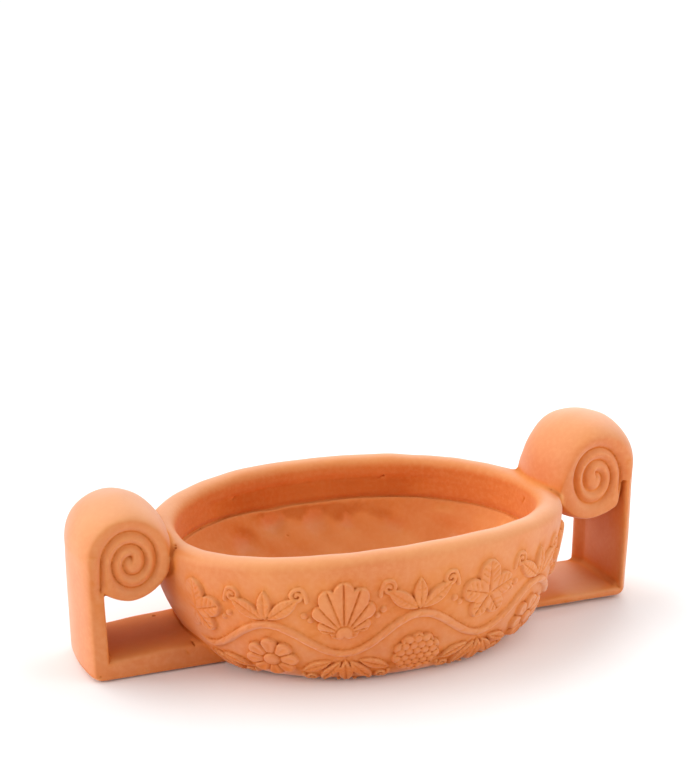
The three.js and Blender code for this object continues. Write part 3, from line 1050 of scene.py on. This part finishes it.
FLAWS: tuple[Flaw, ...] = (
    Flaw((-165.2, 22.3, 20.8), (-166.4, 23.0, 19.2), 1.3),
    Flaw((-150.8, -32.2, 20.9), (-149.0, -36.4, 18.2), 0.5),
    Flaw((-156.8, -36.6, 17.0), (-153.3, -37.2, 12.5), 0.5),
    Flaw((-222.2, -37.0, 4.8), (-221.4, -36.8, 5.6), 0.7),
    Flaw((52.8, 98.0, 83.2), (58.6, 96.6, 86.6), 0.9),
    Flaw((-77.8, 92.0, 83.3), (-75.3, 92.8, 85.6), 0.8),
    Flaw((141.9, -0.7, 83.6), (141.7, -3.8, 88.4), 0.9),
    Flaw((-32.5, 87.9, 48.0), (-31.6, 87.4, 46.8), 0.8),
    Flaw((165.8, -37.3, 5.1), (166.4, -37.2, 5.4), 0.7),
    Flaw((214.8, -25.6, 36.3), (214.8, -30.4, 35.4), 0.6),
    Flaw((-157.7, -25.7, 97.8), (-159.0, -31.9, 96.2), 0.5),
    Flaw((-159.0, -31.9, 96.2), (-161.8, -33.4, 93.0), 0.6),
    Flaw((-163.4, -33.8, 91.8), (-164.0, -33.2, 90.6), 0.8),
    Flaw((152.5, -28.7, 100.8), (158.4, -36.5, 96.8), 0.6),
)


@dataclass
class ClayMesher:
    """Turns a field of clay into one closed skin of small faces."""

    low: Triple = (-240.0, -130.0, -4.0)
    blocks: tuple[int, int, int] = (120, 65, 42)
    block: int = 4
    step: float = 1.0
    band: float = 7.5
    far: float = 9.0
    chunk: int = 400_000
    probe: float = 0.2
    gentlest: float = 0.2
    longest_move: float = 0.6
    move_share: float = 0.9

    def measure(self, clay: Field, points: Array) -> Array:
        """Work out a field at many points, a chunk at a time."""
        parts = [clay(points[i : i + self.chunk]) for i in range(0, len(points), self.chunk)]
        return np.concatenate(parts).astype(np.float32)

    def sample(self, clay: Field) -> Array:
        """Fill a grid with the field, in full only near the clay's skin.

        Args:
            clay: The field.

        Returns:
            A grid of values.
        """
        wide = self.step * self.block
        axes = [start + wide * np.arange(count + 1) for start, count in zip(self.low, self.blocks)]
        corners = np.stack(np.meshgrid(*axes, indexing="ij"), -1).reshape(-1, 3).astype(np.float32)
        coarse = self.measure(clay, corners).reshape([count + 1 for count in self.blocks])
        nearest = np.full(self.blocks, np.inf, np.float32)
        for i, j, k in np.ndindex(2, 2, 2):
            nx, ny, nz = self.blocks
            nearest = np.minimum(nearest, np.abs(coarse[i : i + nx, j : j + ny, k : k + nz]))
        filled = np.where(coarse[:-1, :-1, :-1] < 0.0, -self.far, self.far).astype(np.float32)
        for axis in range(3):
            filled = np.repeat(filled, self.block, axis=axis)
        grid = np.pad(filled, ((0, 1), (0, 1), (0, 1)), constant_values=self.far)
        active = np.argwhere(nearest < self.band) * self.block
        offsets = np.stack(np.meshgrid(*[np.arange(self.block)] * 3, indexing="ij"), -1).reshape(-1, 3)
        index = (active[:, None, :] + offsets[None, :, :]).reshape(-1, 3)
        points = (np.array(self.low) + self.step * index).astype(np.float32)
        grid[tuple(index.T)] = self.measure(clay, points)
        return grid

    def skin(self, clay: Field) -> tuple[Array, Array]:
        """Wrap the clay in four-sided faces.

        Args:
            clay: The field.

        Returns:
            Points and faces.
        """
        grid = self.sample(clay)
        inside = grid < 0.0
        nx, ny, nz = (size - 1 for size in grid.shape)
        some, every = np.zeros((nx, ny, nz), bool), np.ones((nx, ny, nz), bool)
        for i, j, k in np.ndindex(2, 2, 2):
            corner = inside[i : i + nx, j : j + ny, k : k + nz]
            some |= corner
            every &= corner
        cells = np.argwhere(some & ~every)
        points = self.low + self.step * (cells + self.crossings(grid, cells))
        number = np.full((nx, ny, nz), -1, np.int32)
        number[tuple(cells.T)] = np.arange(len(cells))
        faces = [self.faces_across(inside, number, axis) for axis in range(3)]
        return points.astype(np.float32), np.concatenate(faces)

    @staticmethod
    def crossings(grid: Array, cells: Array) -> Array:
        """Place each cell's point at the mean of where the skin crosses its edges.

        Args:
            grid: The field's grid.
            cells: Cells that the skin passes through.

        Returns:
            Place of the point within each cell.
        """
        total, count = np.zeros((len(cells), 3)), np.zeros(len(cells))
        for axis in range(3):
            for side in np.ndindex(2, 2):
                start = np.insert(np.array(side), axis, 0)
                end = np.insert(np.array(side), axis, 1)
                a, b = grid[tuple((cells + start).T)], grid[tuple((cells + end).T)]
                hit = (a < 0.0) != (b < 0.0)
                share = np.where(hit, a / np.where(hit, a - b, 1.0), 0.0)
                total += hit[:, None] * (start + share[:, None] * (end - start))
                count += hit
        return total / count[:, None]

    @staticmethod
    def faces_across(inside: Array, number: Array, axis: int) -> Array:
        """Faces that cut the grid's edges along one axis.

        Args:
            inside: Which grid corners are in the clay.
            number: The number of each cell's point.
            axis: The axis.

        Returns:
            Faces, wound so that they look out of the clay.
        """
        here, cells = np.moveaxis(inside, axis, 0), np.moveaxis(number, axis, 0)
        i, j, k = np.nonzero(here[:-1, 1:-1, 1:-1] != here[1:, 1:-1, 1:-1])
        ring = [cells[i, j, k], cells[i, j + 1, k], cells[i, j + 1, k + 1], cells[i, j, k + 1]]
        outward = here[i, j + 1, k + 1]
        if axis == 1:
            outward = ~outward
        faces = np.stack(ring, axis=1)
        return np.where(outward[:, None], faces, faces[:, ::-1])

    def slope(self, clay: Field, points: Array) -> Array:
        """Work out a field's slope.

        Args:
            clay: The field.
            points: Places.

        Returns:
            The slope at each place.
        """
        slopes = []
        for step in np.eye(3, dtype=np.float32) * np.float32(self.probe):
            slopes.append(self.measure(clay, points + step) - self.measure(clay, points - step))
        return np.stack(slopes, axis=1) / (2.0 * self.probe)

    def settle(self, clay: Field, points: Array, rounds: int) -> Array:
        """Move points onto the clay's skin.

        Args:
            clay: The field.
            points: Points near the skin.
            rounds: How often to move them.

        Returns:
            The points on the skin.
        """
        for _ in range(rounds):
            value, slope = self.measure(clay, points), self.slope(clay, points)
            steep = np.maximum((slope * slope).sum(axis=1), self.gentlest)
            move = np.clip(value / steep, -self.longest_move, self.longest_move)[:, None] * slope
            points = (points - self.move_share * move).astype(np.float32)
        return points

    @staticmethod
    def even(values: Array, faces: Array) -> Array:
        """Even out values over the skin.

        Args:
            values: One value for each point.
            faces: The skin's faces.

        Returns:
            At each point, the mean over its faces.
        """
        corners = faces.ravel()
        means = np.repeat(values[faces].mean(axis=1), faces.shape[1])
        return np.bincount(corners, means, len(values)) / np.bincount(corners, minlength=len(values))

    def relax(self, points: Array, faces: Array) -> Array:
        """Even out the spacing of points."""
        return np.stack([self.even(points[:, axis], faces) for axis in range(3)], axis=1).astype(np.float32)

    @staticmethod
    def mesh(name: str, points: Array, faces: Array) -> bpy.types.Mesh:
        """Make a mesh.

        Args:
            name: Its name.
            points: Its points, in millimetres.
            faces: Its faces, all with as many corners.

        Returns:
            The mesh, in metres.
        """
        mesh = bpy.data.meshes.new(name)
        mesh.vertices.add(len(points))
        mesh.vertices.foreach_set("co", (points * MILLIMETRE).astype(np.float32).ravel())
        mesh.loops.add(faces.size)
        mesh.loops.foreach_set("vertex_index", faces.astype(np.int32).ravel())
        mesh.polygons.add(len(faces))
        mesh.polygons.foreach_set("loop_start", np.arange(0, faces.size, faces.shape[1], dtype=np.int32))
        mesh.update(calc_edges=True)
        mesh.validate()
        return mesh

    @staticmethod
    def thin(mesh: bpy.types.Mesh, triangles: int) -> tuple[Array, Array]:
        """Thin out a mesh where it is flat.

        Args:
            mesh: The mesh. It is used up.
            triangles: How many triangles to keep.

        Returns:
            Points in millimetres, and triangles.
        """
        draft = bpy.data.objects.new("draft", mesh)
        bpy.context.scene.collection.objects.link(draft)
        modifier = draft.modifiers.new("thin", "DECIMATE")
        modifier.ratio = triangles / sum(len(face.vertices) - 2 for face in mesh.polygons)
        modifier.use_collapse_triangulate = True
        done = draft.evaluated_get(bpy.context.evaluated_depsgraph_get()).to_mesh()
        points = np.empty(3 * len(done.vertices), np.float32)
        done.vertices.foreach_get("co", points)
        done.calc_loop_triangles()
        faces = np.empty(3 * len(done.loop_triangles), np.int32)
        done.loop_triangles.foreach_get("vertices", faces)
        bpy.data.objects.remove(draft)
        bpy.data.meshes.remove(mesh)
        return points.reshape(-1, 3) / MILLIMETRE, faces.reshape(-1, 3)


@dataclass
class NodeSheet:
    """A material's nodes and their links."""

    tree: bpy.types.NodeTree

    def add(
        self, kind: str, inputs: dict[str | int, object], out: str, options: dict[str, str] | None = None
    ) -> bpy.types.NodeSocket:
        """Add a node.

        Args:
            kind: Its kind.
            inputs: A number, colour or socket for each input that is set.
            out: Name of the output wanted.
            options: Settings of the node itself.

        Returns:
            The output.
        """
        node = self.tree.nodes.new(f"ShaderNode{kind}")
        for name, value in (options or {}).items():
            setattr(node, name, value)
        for name, value in inputs.items():
            if isinstance(value, bpy.types.NodeSocket):
                self.tree.links.new(value, node.inputs[name])
            else:
                node.inputs[name].default_value = (*value, 1.0) if isinstance(value, tuple) else value
        return node.outputs[out]

    def noise(self, place: bpy.types.NodeSocket, scale: float, detail: float) -> bpy.types.NodeSocket:
        """Add a noise, as fine as its scale per metre."""
        return self.add("TexNoise", {"Vector": place, "Scale": scale, "Detail": detail}, "Fac")

    def mark(self, name: str) -> bpy.types.NodeSocket:
        """Read a mark that is stored on the mesh's points."""
        return self.add("Attribute", {}, "Fac", {"attribute_name": name})

    def scaled(self, share: bpy.types.NodeSocket, full: float) -> bpy.types.NodeSocket:
        """Take a share of a full value."""
        return self.add("Math", {0: share, 1: full}, "Value", {"operation": "MULTIPLY"})

    def blend(
        self,
        colour: bpy.types.NodeSocket | Triple,
        other: Triple,
        value: bpy.types.NodeSocket,
        span: Pair = (0.0, 1.0),
        top: float = 1.0,
    ) -> bpy.types.NodeSocket:
        """Blend a second colour in as a value rises.

        Args:
            colour: The first colour.
            other: The second colour.
            value: The value.
            span: Where the blend begins, and where it reaches its top.
            top: Share of the second colour at the top.

        Returns:
            The blended colour.
        """
        span_inputs = {"From Min": span[0], "From Max": span[1], "To Max": top, "Value": value}
        share = self.add("MapRange", span_inputs, "Result", {"interpolation_type": "SMOOTHSTEP"})
        return self.add("Mix", {"Factor": share, "A": colour, "B": other}, "Result", {"data_type": "RGBA"})


@dataclass(frozen=True)
class TerracottaFinish:
    """Matt fired clay: an orange body with pale specks and worn edges; painted highlight pales the faces that look
    up, and painted shade darkens crevices and warms sheltered places.
    """

    body: Triple = (0.72, 0.232, 0.056)
    # Warm colour, both a random tone in the clouds and the colour of painted shade in sheltered places.
    warm_tone_and_shade: Triple = (0.66, 0.182, 0.038)
    # Pale colour for specks and worn edges, also used as painted highlight on faces that look up.
    dust_and_top_highlight: Triple = (0.78, 0.352, 0.125)
    # Colour of painted shade in crevices and under the lip.
    hollow: Triple = (0.42, 0.080, 0.010)
    roughness: float = 0.62
    sheen: float = 0.4
    sheen_roughness: float = 0.5
    gloss: float = 0.5
    clouds: Pair = (9.0, 4.0)
    cloud_span: Pair = (0.38, 0.66)
    specks: Pair = (260.0, 3.0)
    speck_span: Pair = (0.35, 0.75)
    speck_dust: float = 0.22
    wear_span: Pair = (0.05, 0.6)
    wear_dust: float = 0.75
    # Painted highlight: how far faces that look up are paled.
    painted_top_highlight: float = 0.45
    # Painted shade: how far sheltered places are warmed.
    shelter_shade: float = 0.5
    # Painted shade in crevices: where it begins and is full, and how strong it is.
    crevice_span: Pair = (0.18, 0.65)
    crevice_shade: float = 0.85
    grains: Pair = (650.0, 3.0)
    grain: float = 0.12
    grain_depth: float = 0.0006

    def material(self) -> bpy.types.Material:
        """Make the material.

        Returns:
            The terracotta material.
        """
        material = bpy.data.materials.new("fired_terracotta")
        material.use_nodes = True
        sheet = NodeSheet(material.node_tree)
        shader = material.node_tree.nodes["Principled BSDF"].inputs
        shader["Roughness"].default_value = self.roughness
        shader["Sheen Roughness"].default_value = self.sheen_roughness
        shader["Sheen Tint"].default_value = (1.0, 1.0, 1.0, 1.0)
        place = sheet.add("TexCoord", {}, "Object")
        upward = sheet.add("SeparateXYZ", {"Vector": sheet.add("NewGeometry", {}, "Normal")}, "Z")
        colour = sheet.blend(self.warm_tone_and_shade, self.body, sheet.noise(place, *self.clouds), self.cloud_span)
        specks = sheet.noise(place, *self.specks)
        colour = sheet.blend(colour, self.dust_and_top_highlight, specks, self.speck_span, self.speck_dust)
        colour = sheet.blend(colour, self.dust_and_top_highlight, sheet.mark("wear"), self.wear_span, self.wear_dust)
        # Painted highlight: faces that look up are made paler, as if lit and sheened.
        colour = sheet.blend(colour, self.dust_and_top_highlight, upward, top=self.painted_top_highlight)
        # Painted shade: sheltered places are made warmer, as if lit only by light bounced off the clay.
        colour = sheet.blend(colour, self.warm_tone_and_shade, sheet.mark("shelter"), top=self.shelter_shade)
        # Painted shade: crevices and the band under the lip are made darker and redder.
        crevice = sheet.mark("crevice")
        colour = sheet.blend(colour, self.hollow, crevice, self.crevice_span, self.crevice_shade)
        # Painted shade on the sheen: sheen and gloss are weakened in crevices, sheltered places and the bowl's
        # lining.
        unshaded_sheen = sheet.mark("unshaded_sheen")
        bump = {"Strength": self.grain, "Distance": self.grain_depth, "Height": sheet.noise(place, *self.grains)}
        dressed = {
            "Base Color": colour,
            "Sheen Weight": sheet.scaled(unshaded_sheen, self.sheen),
            "Specular IOR Level": sheet.scaled(unshaded_sheen, self.gloss),
            "Normal": sheet.add("Bump", bump, "Normal"),
        }
        for name, socket in dressed.items():
            material.node_tree.links.new(socket, shader[name])
        return material


@dataclass
class Vase:
    """The whole vase: bowl, relief and handles, knitted into one piece of clay."""

    bowl: BowlForm = field(default_factory=BowlForm)
    handles: tuple[HandleForm, ...] = (LEFT_HANDLE, RIGHT_HANDLE)
    finish: TerracottaFinish = TerracottaFinish()
    mesher: ClayMesher = field(default_factory=ClayMesher)
    waves: HandWaves = HandWaves(seed=3, height=0.32, shortest=26.0, longest=120.0)
    wave_rise: Pair = (0.0, 10.0)
    handle_start: float = 88.0
    bar_seam: float = 2.5
    seam_rise: Pair = (30.0, 70.0)
    flaw_edge: float = 0.5
    foot_edge: float = 1.0
    triangles: int = 190_000
    crevice_reach: Pair = (1.0, 1.8)
    crevice_ways: int = 6
    crevice_lift: float = math.radians(30.0)
    wear_reach: Triple = (1.2, 2.8, 5.0)
    shelter: float = 40.0
    shelter_span: Pair = (0.3, 0.9)
    # Strength of the painted shadow under the lip, which joins the painted crevice shade.
    painted_lip_shadow: float = 0.42
    # Painted shade on the sheen: the crevice depth that takes it all away, and how far shelter and the bowl's
    # lining weaken it.
    sheen_shade_end: float = 0.3
    sheen_shade_sheltered: float = 0.8
    sheen_shade_inside: float = 0.7
    relief: VineRelief = field(init=False)

    def __post_init__(self) -> None:
        """Carve the relief."""
        self.relief = VineRelief(self.bowl)

    def clay(self, points: Array) -> Array:
        """Field of the vase's clay.

        Args:
            points: Places, one row each.

        Returns:
            The field.
        """
        clay = self.bowl.clay(points, self.relief)
        for handle in self.handles:
            near = np.nonzero(handle.side * points[:, 0] > self.handle_start)[0]
            part = points[near]
            seam = self.bar_seam + (handle.seam - self.bar_seam) * ramp(part[:, 2], *self.seam_rise)
            clay[near] = knit(clay[near], handle.clay(part), seam)
        clay += self.waves.lift(points) * ramp(points[:, 2], *self.wave_rise)
        for flaw in FLAWS:
            clay = trim(clay, -flaw.distance(points), self.flaw_edge)
        return trim(clay, -points[:, 2], self.foot_edge)

    def crevices(self, points: Array, normals: Array) -> Array:
        """Find crevices: places with clay close by, round about and a little above them.

        Args:
            points: Points of the skin.
            normals: Ways out of the clay at the points.

        Returns:
            A share from 0 to 1 for each point.
        """
        upright = np.abs(normals[:, 2:]) < 0.9
        beside = np.cross(normals, np.where(upright, [[0.0, 0.0, 1.0]], [[1.0, 0.0, 0.0]]))
        beside /= np.linalg.norm(beside, axis=1, keepdims=True)
        ahead = np.cross(normals, beside)
        crevice = np.zeros(len(points))
        high, flat = math.sin(self.crevice_lift), math.cos(self.crevice_lift)
        for reach in self.crevice_reach:
            for turn in np.arange(self.crevice_ways) * TURN / self.crevice_ways:
                way = high * normals + flat * (math.cos(turn) * beside + math.sin(turn) * ahead)
                out = self.mesher.measure(self.clay, (points + reach * way).astype(np.float32))
                crevice += np.clip(1.0 - out / (high * reach), 0.0, 1.0)
        return crevice / (len(self.crevice_reach) * self.crevice_ways)

    def marks(self, points: Array, normals: Array) -> dict[str, Array]:
        """Find crevices, sheltered places and worn edges, and where painted shade weakens the sheen.

        Args:
            points: Points of the skin.
            normals: Ways out of the clay at the points.

        Returns:
            The marks by name, each from 0 to 1.
        """
        wear = np.zeros(len(points))
        for reach in self.wear_reach:
            deep = self.mesher.measure(self.clay, points - normals * np.float32(reach))
            wear += np.clip(1.0 + deep / reach, 0.0, 1.0) / len(self.wear_reach)
        far = self.mesher.measure(self.clay, points + normals * np.float32(self.shelter))
        shelter = ramp(1.0 - far / self.shelter, *self.shelter_span)
        inner, painted_lip_shadow = self.bowl.lining(points, normals)
        # Painted shade: the crevice mark also carries the painted shadow under the lip.
        crevice = np.maximum(self.crevices(points, normals), self.painted_lip_shadow * painted_lip_shadow)
        # Painted shade on the sheen: weaker in crevices, sheltered places and the bowl's lining.
        unshaded_sheen = (1.0 - ramp(crevice, 0.0, self.sheen_shade_end)) * (1.0 - self.sheen_shade_sheltered * shelter)
        unshaded_sheen *= 1.0 - self.sheen_shade_inside * inner
        return {"crevice": crevice, "wear": wear, "shelter": shelter, "unshaded_sheen": unshaded_sheen}

    def build(self) -> bpy.types.Object:
        """Build and dress the vase.

        Returns:
            The vase's object, tied to the frame.
        """
        points, faces = self.mesher.skin(self.clay)
        points = self.mesher.settle(self.clay, points, 2)
        points = self.mesher.settle(self.clay, self.mesher.relax(points, faces), 1)
        LOG.info("wrapped skin: %d points, %d faces", len(points), len(faces))
        points, faces = self.mesher.thin(self.mesher.mesh("draft", points, faces), self.triangles)
        points = self.mesher.settle(self.clay, points, 1)
        points[:, 2] = np.maximum(points[:, 2], 0.0)
        mesh = self.mesher.mesh("vase_clay", points, faces)
        normals = np.empty(3 * len(mesh.vertices), np.float32)
        mesh.vertex_normals.foreach_get("vector", normals)
        for name, values in self.marks(points, normals.reshape(-1, 3)).items():
            values = self.mesher.even(values, faces).astype(np.float32)
            mesh.attributes.new(name, "FLOAT", "POINT").data.foreach_set("value", values)
        mesh.polygons.foreach_set("use_smooth", np.ones(len(mesh.polygons), bool))
        mesh.materials.append(self.finish.material())
        vase = bpy.data.objects.new("vase_clay", mesh)
        bpy.context.scene.collection.objects.link(vase)
        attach(vase, "root")
        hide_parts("vase")
        LOG.info("vase: %d triangles", len(mesh.polygons))
        return vase


@dataclass(frozen=True)
class SoftLamp:
    """A wide soft light from far off: its bearing, 0 from the front and 90 from the right, height and strength."""

    name: str
    bearing: float
    height: float
    strength: float
    spread: float = 50.0

    def build(self) -> None:
        """Hang the lamp."""
        light = bpy.data.lights.new(self.name, "SUN")
        light.energy = self.strength
        light.angle = math.radians(self.spread)
        turn, lift = math.radians(self.bearing), math.radians(self.height)
        flat = math.cos(lift)
        way = Vector((math.sin(turn) * flat, -math.cos(turn) * flat, math.sin(lift)))
        set_up(bpy.data.objects.new(self.name, light), -way)


@dataclass(frozen=True)
class SoftPanel:
    """A square soft light near the vase: where it stands, its size and its power."""

    name: str
    place: Triple
    size: float
    watts: float
    target: Triple = (0.0, 0.0, 0.06)

    def build(self) -> None:
        """Set up the panel, turned to the vase and out of the camera's sight."""
        light = bpy.data.lights.new(self.name, "AREA")
        light.energy = self.watts
        light.size = self.size
        panel = bpy.data.objects.new(self.name, light)
        panel.location = self.place
        panel.visible_camera = False
        set_up(panel, Vector(self.target) - Vector(self.place))


@dataclass
class Studio:
    """A white floor that runs back out of sight, pale surroundings, and wide soft lamps."""

    floor_size: float = 80.0
    floor_white: float = 0.92
    floor_roughness: float = 0.9
    floor_gloss: float = 0.1
    surroundings: float = 0.3
    lamps: tuple[SoftLamp | SoftPanel, ...] = (
        SoftLamp("left_lamp", -90.0, 18.0, 1.9),
        SoftLamp("front_left_lamp", -45.0, 18.0, 0.3),
        SoftLamp("front_right_lamp", 45.0, 18.0, 0.3),
        SoftLamp("back_left_lamp", -135.0, 50.0, 1.2),
        SoftLamp("right_lamp", 90.0, 50.0, 0.8),
        SoftLamp("back_lamp", 180.0, 50.0, 0.6),
        SoftPanel("low_panel", (0.8, -0.8, 0.3), 0.5, 2.0),
        SoftPanel("high_panel", (0.7, -0.9, 0.8), 0.6, 1.6),
        SoftPanel("back_panel", (0.7, 0.8, 0.6), 0.6, 3.6),
    )

    def build(self) -> bpy.types.Object:
        """Set up floor, surroundings and lamps.

        Returns:
            The floor.
        """
        bpy.ops.mesh.primitive_plane_add(size=self.floor_size, location=(0.0, 0.0, 0.0))
        floor = bpy.context.object
        floor.name = "floor"
        white = bpy.data.materials.new("floor_white")
        white.use_nodes = True
        shader = white.node_tree.nodes["Principled BSDF"]
        shader.inputs["Base Color"].default_value = (self.floor_white,) * 3 + (1.0,)
        shader.inputs["Roughness"].default_value = self.floor_roughness
        shader.inputs["Specular IOR Level"].default_value = self.floor_gloss
        floor.data.materials.append(white)
        world = bpy.data.worlds.new("surroundings")
        world.use_nodes = True
        background = world.node_tree.nodes["Background"].inputs
        background["Color"].default_value = (1.0, 1.0, 1.0, 1.0)
        background["Strength"].default_value = self.surroundings
        bpy.context.scene.world = world
        for lamp in self.lamps:
            lamp.build()
        bpy.context.scene.view_settings.view_transform = "Standard"
        return floor


@dataclass
class Shot:
    """The camera: where it stands, the point its axis passes through, its lens, and its frame's shift."""

    place: Triple = (-0.421204, -1.058685, 0.501079)
    target: Triple = (-0.00265, 0.0, 0.06)
    lens: float = 70.909
    sensor: float = 36.0
    shift: Pair = (-0.010693, 0.207521)
    sight: float = 200.0

    def build(self) -> bpy.types.Object:
        """Set up the camera.

        Returns:
            The camera.
        """
        camera = bpy.data.objects.new("camera", bpy.data.cameras.new("camera"))
        camera.data.lens = self.lens
        camera.data.sensor_width = self.sensor
        camera.data.shift_x, camera.data.shift_y = self.shift
        camera.data.clip_end = self.sight
        camera.location = self.place
        set_up(camera, Vector(self.target) - Vector(self.place))
        bpy.context.scene.camera = camera
        return camera


def main() -> None:
    """Build the vase, the studio and the shot."""
    logging.basicConfig(level=logging.INFO, format="%(name)s: %(message)s")
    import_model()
    Vase().build()
    Studio().build()
    LOG.info("studio: floor, surroundings and soft lamps")
    Shot().build()
    LOG.info("shot: camera set")


if __name__ == "__main__":
    main()
